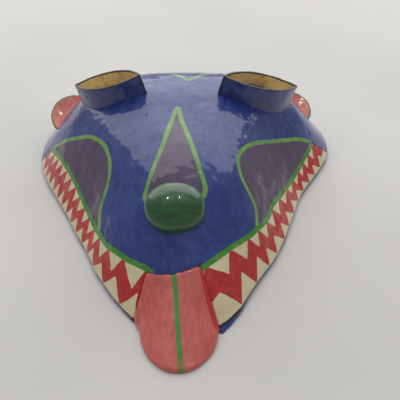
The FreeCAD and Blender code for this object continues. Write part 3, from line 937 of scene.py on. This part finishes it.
def surface_tree(node: str) -> BVHTree:
    """Make a search tree over a CAD node's own surface.

    Args:
        node: The node's name.

    Returns:
        The tree.
    """
    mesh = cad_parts[node].data
    corners = [vertex.co.copy() for vertex in mesh.vertices]
    return BVHTree.FromPolygons(corners, [tuple(face.vertices) for face in mesh.polygons])


@dataclass
class FaceShell:
    """The hollow paper face with everything that is painted on it.

    Places and painted sizes are in millimetres, and the grain and the rays in metres.
    """

    grain: float = 0.0011
    rim_edge: tuple[float, float] = (3.5, 4.5)
    side_rise: float = 0.79
    wobble: float = 0.45
    tooth_run_in: float = 25.0
    ray_start: float = 0.0004
    ray_length: float = 0.2
    overhang: float = 0.35
    green_right: Points = ((7, -99.5), (12, -97.5), (26, -84), (43, -67), (55, -51), (61, -40), (66, -26.5),
                           (80.5, 1), (88, 15.5), (100.5, 39.5), (105.5, 50), (107, 55.5))
    green_left: Points = ((-24, -98), (-27, -95.5), (-40, -85), (-54.5, -69), (-63, -54), (-69.5, -40),
                          (-78.5, -18.5), (-88, 4.5), (-97, 23.5), (-107.5, 43), (-114.5, 56))
    end_right: Points = ((107, 55.5), (123.5, 63.5), (150, 76))
    end_left: Points = ((-114.5, 56), (-150, 54))
    patch_right: Points = ((107, 55.5), (95.5, 47.5), (76, 32), (56.5, 14.5), (44.5, -0.5), (39.5, -11.5),
                           (39, -22.5), (41.5, -30.5), (46, -36.5), (50.5, -43), (51, -55))
    patch_left: Points = ((-114.5, 56), (-101.5, 47.5), (-85.5, 35.5), (-73, 25), (-63.5, 12.5),
                          (-58, -1.5), (-56.5, -13.5), (-58, -23.5), (-61.5, -32), (-63.5, -39.5),
                          (-64, -51))
    drop: Points = ((8, -62), (13.5, -52), (11.5, -41), (7.5, -26.5), (2.5, -5.5), (-2.5, 15), (-6, 32),
                    (-12, 6), (-17, -16.5), (-23.5, -35), (-27, -45.5), (-28.5, -53.5), (-22, -63))
    brow: Points = ((-60, 150), (-34, 114), (-4, 83), (2.5, 76), (9.5, 81), (40, 112), (64, 148))
    spot: tuple[float, float] = (49.0, -11.5)
    ahead_right: tuple[float, float] = (-11.0, -116.5)
    ahead_left: tuple[float, float] = (-6.0, -115.5)
    teeth_right: Teeth = Teeth((5.5, 19.5, 24, 20, 12.5, 14, 14, 17.5, 16.5, 14, 13, 12), (0.55, 0.2),
                               (0.6, 0.35), (0.42, 0.45))
    teeth_left: Teeth = Teeth((4, 17, 21, 17.5, 15.5, 10.5, 12.5, 12, 13, 10.5, 10.5, 11, 11, 10.5),
                              (0.2, 0.6), (0.5, 0.72), (0.56, 0.44))

    def build(self) -> bpy.types.Object:
        """Make the shell, lay its guides and paint it.

        Returns:
            The piece.
        """
        lumps = (Lump(0.036, 0.0008), Lump(0.013, 0.0004, 3.0), Lump(0.005, 0.00016, 7.0))
        skin = Skin("painted_face", "face_shell", "painted_blue_paper", self.grain, lumps=lumps)
        skin.build()
        self.lay_guides(skin)
        return skin.dress(FacePaint().material())

    def lay_guides(self, skin: Skin) -> None:
        """Work out every painted zone's guide on the shell's points.

        Args:
            skin: The shell.
        """
        places, ways = skin.points() / MM, skin.normals()
        plan = places[:, :2]
        rng = np.random.default_rng(4)
        phases = rng.uniform(0, 6.28, 4)
        wobble = self.wobble * (np.sin(plan[:, 0] / 7 + phases[0]) + np.sin(plan[:, 1] / 8 + phases[1]))
        right, left = Stroke(flowing(self.green_right)), Stroke(flowing(self.green_left))
        face = np.vstack([left.line[::-1], [[-24, -112], [7, -112]], right.line,
                          np.array(self.end_right[1:]), [[150, 220], [-150, 220]],
                          np.array(self.end_left[::-1][:-1])])
        face_inside = within(face, plan)
        rim_up = (places[:, 2] - np.where(plan[:, 0] < 0, *self.rim_edge)) / self.side_rise
        tooth = np.full(len(plan), -9.0)
        green = np.full(len(plan), 1e3)
        sides = ((right, self.teeth_right, self.ahead_right), (left, self.teeth_left, self.ahead_left))
        for stroke, teeth, ahead in sides:
            distance, way, along = stroke.measure(plan)
            flat = self.on_surface(distance, way, ways)
            width = np.maximum(rim_up, 0) + flat
            share = np.maximum(rim_up, 0) / np.maximum(width, 1e-3)
            lead = stroke.line[0] - np.array(ahead)
            before = np.clip((stroke.line[0] - plan) @ lead / np.hypot(*lead), 0, self.tooth_run_in)
            number = teeth.count(along - np.where(along < 0.5, before, 0) + wobble * 0.5)
            gap = teeth.gap(number, share, width)
            nearer = distance < np.abs(green)
            tooth = np.where(nearer, gap, tooth)
            green = np.where(nearer, flat, green)
        skin.guide("tooth_gap", tooth)
        skin.guide("green_gap", green)
        skin.guide("band_gap", np.where(face_inside, -green, green))
        skin.guide("rim_up", rim_up + 0.5 * wobble)
        self.closed_guide(skin, "patch_gap", plan, ways, self.patch_outlines(right, left))
        self.closed_guide(skin, "drop_gap", plan, ways, [flowing(self.drop, 6)])
        self.open_guide(skin, "brow_gap", plan, ways, flowing(self.brow, 6))
        self.open_guide(skin, "end_gap", plan, ways, np.array(self.end_right, float))
        skin.guide("spot_gap", np.hypot(*(plan - np.array(self.spot)).T))
        skin.guide("inside", self.inner_share(skin))

    def patch_outlines(self, right: Stroke, left: Stroke) -> list[np.ndarray]:
        """Close each cheek patch along the band's green line.

        Args:
            right: The right green line.
            left: The left green line.

        Returns:
            The two closed outlines.
        """
        outlines = []
        for points, stroke in ((self.patch_right, right), (self.patch_left, left)):
            inner = flowing(points, 6)
            low, high = inner[-1][1], inner[0][1]
            outer = stroke.line[(stroke.line[:, 1] > low) & (stroke.line[:, 1] < high)]
            outlines.append(np.vstack([inner, outer]))
        return outlines

    def on_surface(self, distance: np.ndarray, way: np.ndarray, ways: np.ndarray) -> np.ndarray:
        """Turn a distance seen from above into one along the sloping surface."""
        lean = np.clip((ways[:, :2] * way).sum(1) ** 2, 0, 0.8)
        return distance / np.sqrt(1 - lean)

    def closed_guide(self, skin: Skin, name: str, plan: np.ndarray, ways: np.ndarray,
                     outlines: list[np.ndarray]) -> None:
        """Keep the distance to closed outlines, negative inside.

        Args:
            skin: The shell.
            name: The guide's name.
            plan: The points seen from above.
            ways: The points' outward ways.
            outlines: The closed outlines.
        """
        nearest = np.full(len(plan), 1e3)
        for outline in outlines:
            distance, way, _ = Stroke(np.vstack([outline, outline[:1]])).measure(plan)
            flat = self.on_surface(distance, way, ways)
            signed = np.where(within(outline, plan), -flat, flat)
            nearest = np.where(np.abs(signed) < np.abs(nearest), signed, nearest)
        skin.guide(name, nearest)

    def open_guide(self, skin: Skin, name: str, plan: np.ndarray, ways: np.ndarray,
                   line: np.ndarray) -> None:
        """Keep the distance to an open line.

        Args:
            skin: The shell.
            name: The guide's name.
            plan: The points seen from above.
            ways: The points' outward ways.
            line: The line's points.
        """
        distance, way, _ = Stroke(line).measure(plan)
        skin.guide(name, self.on_surface(distance, way, ways))

    def inner_share(self, skin: Skin) -> np.ndarray:
        """Tell the bare inner surface from the painted outer one.

        Args:
            skin: The shell.

        Returns:
            1 for a point under the face and 0 for one on it.
        """
        mesh = skin.made.data
        tree = BVHTree.FromPolygons([v.co.copy() for v in mesh.vertices],
                                    [tuple(face.vertices) for face in mesh.polygons])
        up = Vector((0, 0, 1))
        share = np.zeros(len(mesh.vertices))
        for i, (place, way) in enumerate(zip(skin.points(), skin.normals())):
            start = Vector(place) + Vector(way) * self.ray_start
            if way[2] < self.overhang and tree.ray_cast(start, up, self.ray_length)[0] is not None:
                share[i] = 1.0
        return share


@dataclass
class Tongue:
    """The paper tongue with its green middle line. Places are in millimetres."""

    grain: float = 0.0008
    jaw_end: float = -131.0
    line: Points = ((-9.5, -92), (-8.5, -103), (-7, -118), (-6, -137), (-5, -149.5), (-4, -163))
    jaw_edge: Points = ((6, -88), (8, -98.5), (9.5, -105), (12, -114), (15, -124), (17.5, -130.5))

    def build(self) -> bpy.types.Object:
        """Make the tongue.

        Returns:
            The piece.
        """
        lumps = (Lump(0.022, 0.0006, 2.0), Lump(0.008, 0.0002, 4.0))
        skin = Skin("painted_tongue", "tongue", "pink_paper", self.grain, swell=0.00035, lumps=lumps)
        skin.build()
        plan = skin.points()[:, :2] / MM
        distance, _, _ = Stroke(flowing(self.line, 6)).measure(plan)
        skin.guide("line_gap", distance)
        jaw = flowing(self.jaw_edge, 6)
        beyond = plan[:, 0] - np.interp(-plan[:, 1], -jaw[:, 1], jaw[:, 0])
        skin.guide("jaw_gap", np.minimum(beyond, plan[:, 1] - self.jaw_end))
        skin.guide("top_side", skin.normals()[:, 2] * 0.5 + 0.5)
        return skin.dress(TonguePaint().material())


@dataclass
class Nose:
    """The round pulp nose. Sizes are in metres."""

    grain: float = 0.0008
    glue_way: tuple[float, float, float] = (0.0, -0.3, 0.95)
    search: float = 0.02
    open_gap: float = 20.0

    def build(self, face: BVHTree) -> bpy.types.Object:
        """Make the nose.

        Args:
            face: The face's surface, which it is glued to.

        Returns:
            The piece.
        """
        lumps = (Lump(0.016, 0.0007, 1.0), Lump(0.006, 0.0002, 6.0))
        skin = Skin("painted_nose", "nose_cap", "green_pulp", self.grain, lumps=lumps)
        skin.build(face, Vector(self.glue_way))
        near = [face.find_nearest(Vector(place), self.search) for place in skin.points()]
        skin.guide("up_gap", np.array([self.open_gap if hit[0] is None else hit[3] / MM for hit in near]))
        return skin.dress(NosePaint().material())


@dataclass
class EyeCollar:
    """One leaf-shaped collar of two bent card strips, with the eyeball at its bottom.

    Sizes are in metres and turns in degrees.
    """

    side: Side
    length: float
    width: float = 0.030
    card: float = 0.002
    lean: float = 17.0
    yaw: float = 15.0
    grain: float = 0.00055
    ball_grain: float = 0.0008
    paint_edge: float = 0.0006
    corner_half: float = 0.0004
    iris_in: float = 0.003
    iris_back: float = 0.001

    def turn(self) -> Matrix:
        """The collar's own axes as columns, with its rim square to the third."""
        yaw = Matrix.Rotation(math.radians(self.side.value * self.yaw), 3, "Z")
        return yaw @ Matrix.Rotation(math.radians(self.side.value * self.lean), 3, "Y")

    def middle(self) -> Vector:
        """Find the middle of the collar's rim, from the corners of its two strips.

        Returns:
            The middle in metres.
        """
        axes = np.array(self.turn())
        both = [vertex.co for wall in Wall for vertex in self.cad(wall).data.vertices]
        local = np.array([tuple(place) for place in both]) @ axes
        top = local[local[:, 2] > local[:, 2].max() - 0.0003]
        centre = (top.min(0) + top.max(0)) / 2
        centre[2] = local[:, 2].max()
        return Vector(axes @ centre)

    def cad(self, wall: Wall) -> bpy.types.Object:
        """The frame's node for one strip."""
        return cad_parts[f"{self.side.word}_eye_{wall.word}_wall"]

    def build(self, face: BVHTree) -> list[bpy.types.Object]:
        """Make both strips and the eyeball.

        Args:
            face: The face's surface, which they are glued to.

        Returns:
            The pieces.
        """
        axes, middle = np.array(self.turn()), np.array(self.middle())
        finish = CollarPaint().material()
        return [self.strip(wall, face, axes, middle, finish) for wall in Wall] + [
            self.eyeball(face, axes, middle)]

    def strip(self, wall: Wall, face: BVHTree, axes: np.ndarray, middle: np.ndarray,
              finish: bpy.types.Material) -> bpy.types.Object:
        """Make one bent strip.

        Args:
            wall: Which strip.
            face: The face's surface.
            axes: The collar's own axes as columns.
            middle: The middle of its rim.
            finish: Its paint.

        Returns:
            The piece.
        """
        name = f"{self.side.word}_collar_{wall.word}"
        lumps = (Lump(0.016, 0.0006, 3.0 + self.side.value), Lump(0.005, 0.0002, 8.0))
        skin = Skin(name, self.cad(wall).name, "blue_card", self.grain, swell=0.0001, lumps=lumps)
        skin.build(face, Vector(axes[:, 2]))
        local = (skin.points() - middle) @ axes
        radius = (self.length**2 / 4 + self.width**2 / 4) / self.width
        hub = -wall.value * (radius - self.width / 2)
        far = np.hypot(local[:, 0], local[:, 1] - hub)
        skin.guide("inside", np.clip((radius - self.card / 2 - far) / self.paint_edge + 0.5, 0, 1))
        skin.guide("rim_drop", -local[:, 2] / MM)
        inner_corner = -self.side.value * self.length / 2
        corner_gap = np.abs(local[:, 0] - inner_corner) - self.corner_half
        skin.guide("corner_gap", corner_gap / MM)
        return skin.dress(finish)

    def eyeball(self, face: BVHTree, axes: np.ndarray, middle: np.ndarray) -> bpy.types.Object:
        """Make the domed floor with its painted iris.

        Args:
            face: The face's surface.
            axes: The collar's own axes as columns.
            middle: The middle of its rim.

        Returns:
            The piece.
        """
        name = f"{self.side.word}_eyeball"
        skin = Skin(f"painted_{name}", name, "cream_pulp", self.ball_grain, swell=0.0003)
        skin.build(face, Vector(axes[:, 2]))
        local = (skin.points() - middle) @ axes
        off = local[:, :2] - np.array([-self.side.value * self.iris_in, self.iris_back])
        skin.guide("iris_gap", np.hypot(off[:, 0], off[:, 1]) / MM)
        return skin.dress(EyePaint().material())


@dataclass
class Ear:
    """One dished leaf-shaped ear. Sizes are in metres and degrees."""

    side: Side
    root: tuple[float, float, float]
    length: float = 0.050
    width: float = 0.042
    turn: float = 50.0
    tilt: float = 24.0
    grain: float = 0.0007

    def build(self, face: BVHTree) -> bpy.types.Object:
        """Make the ear.

        Args:
            face: The face's surface, which it is glued to.

        Returns:
            The piece.
        """
        tilt = Matrix.Rotation(math.radians(self.tilt), 3, "X")
        axes = np.array(tilt @ Matrix.Rotation(math.radians(-self.side.value * self.turn), 3, "Z"))
        lumps = (Lump(0.02, 0.0008, 2.0 + self.side.value), Lump(0.007, 0.00025, 6.0))
        name = f"{self.side.word}_ear"
        skin = Skin(f"painted_{name}", name, "pink_card", self.grain, swell=0.0001, lumps=lumps)
        skin.build(face, Vector(axes[:, 1]))
        local = (skin.points() - np.array(self.root)) @ axes
        half = self.width / 2
        hub = np.array([0.0, self.length - half])
        skin.guide("edge_gap", (half - np.hypot(*(local[:, :2] - hub).T)) / MM)
        facing = skin.normals() @ axes[:, 2]
        skin.guide("top_side", facing * 0.5 + 0.5)
        return skin.dress(EarPaint().material())


@dataclass
class Hanger:
    """The wire ring behind the forehead, its cloth strap and the pulp that holds it."""

    strap_grain: float = 0.00032
    pulp_grain: float = 0.0006

    def build(self) -> list[bpy.types.Object]:
        """Make the strap and the pulp, and finish the ring.

        Returns:
            The pieces.
        """
        strap = Skin("ring_strap", "hanger_strap", "cloth_tape", self.strap_grain, soften=2,
                     lumps=(Lump(0.006, 0.0002, 1.0),))
        strap.build()
        strap.dress(Tape().material())
        lumps = (Lump(0.01, 0.0009, 2.0), Lump(0.004, 0.0004, 5.0), Lump(0.002, 0.0002, 9.0))
        pulp = Skin("strap_pulp", "hanger_pad", "kraft_pulp", self.pulp_grain, soften=4, swell=0.0003,
                    lumps=lumps)
        pulp.build()
        pulp.dress(KraftPaper().material())
        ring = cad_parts["hanger_ring"]
        finish = WireSteel().material()
        if ring.material_slots:
            ring.material_slots[0].material = finish
        LOG.info("hanger_ring: %d faces, kept from the frame", len(ring.data.polygons))
        return [strap.made, pulp.made, ring]


# ------------------------------------------------------------------ studio


@dataclass
class Studio:
    """The board under the mask, the lights and the camera.

    Sizes are in metres, the camera's turn in degrees and its lens in millimetres.
    """

    floor: float = 6.0
    eye: tuple[float, float, float] = (0.00218, -0.40279, 0.34410)
    look: tuple[float, float, float] = (50.0, 0.0, -1.25)
    lens: float = 58.88
    air_strength: float = 0.3

    def build(self) -> None:
        """Set out the whole studio."""
        self.board()
        self.lamp("back_window", (0.0, 1.15, 1.0), (3.4, 1.7), 24.0)
        self.lamp("ceiling_left", (-0.48, 0.0, 1.75), (0.07, 0.07), 3.0)
        self.lamp("ceiling_right", (0.42, 0.0, 1.75), (0.07, 0.07), 3.0)
        self.air()
        self.camera()
        bpy.context.scene.view_settings.view_transform = "Standard"

    def board(self) -> None:
        """Lay the flat pale board."""
        half = self.floor / 2
        mesh = bpy.data.meshes.new("board")
        corners = [(-half, -half, 0), (half, -half, 0), (half, half, 0), (-half, half, 0)]
        mesh.from_pydata(corners, [], [(0, 1, 2, 3)])
        board = bpy.data.objects.new("board", mesh)
        bpy.context.scene.collection.objects.link(board)
        mesh.materials.append(Board().material())

    def lamp(self, name: str, place: tuple[float, float, float], size: tuple[float, float],
             power: float) -> None:
        """Hang one soft rectangular light that faces the mask.

        Args:
            name: The light's name.
            place: Where its middle is.
            size: Its width and height.
            power: Its power in watts.
        """
        light = bpy.data.lights.new(name, "AREA")
        light.shape = "RECTANGLE"
        light.size, light.size_y = size
        light.energy = power
        lamp = bpy.data.objects.new(name, light)
        lamp.location = place
        lamp.rotation_euler = (-Vector(place)).to_track_quat("-Z", "Y").to_euler()
        bpy.context.scene.collection.objects.link(lamp)

    def air(self) -> None:
        """Fill the room with a little even light."""
        world = bpy.data.worlds.new("room")
        world.use_nodes = True
        back = world.node_tree.nodes["Background"]
        back.inputs["Color"].default_value = (1.0, 0.985, 0.965, 1.0)
        back.inputs["Strength"].default_value = self.air_strength
        bpy.context.scene.world = world

    def camera(self) -> None:
        """Stand the camera on the tongue's side, looking down at the face."""
        data = bpy.data.cameras.new("camera")
        data.sensor_width = 36.0
        data.lens = self.lens
        data.clip_start = 0.01
        camera = bpy.data.objects.new("camera", data)
        camera.location = self.eye
        camera.rotation_euler = Euler([math.radians(angle) for angle in self.look])
        bpy.context.scene.collection.objects.link(camera)
        bpy.context.scene.camera = camera


def main() -> None:
    """Build the mask piece by piece, then the studio round it."""
    logging.basicConfig(level=logging.INFO, format="%(name)s %(message)s")
    Studio().build()
    face = surface_tree("face_shell")
    FaceShell().build()
    Tongue().build()
    Nose().build(face)
    EyeCollar(Side.LEFT, 0.060).build(face)
    EyeCollar(Side.RIGHT, 0.068).build(face)
    Ear(Side.LEFT, (-0.0765, 0.0820, 0.013)).build(face)
    Ear(Side.RIGHT, (0.0695, 0.0850, 0.013)).build(face)
    Hanger().build()


if __name__ == "__main__":
    main()
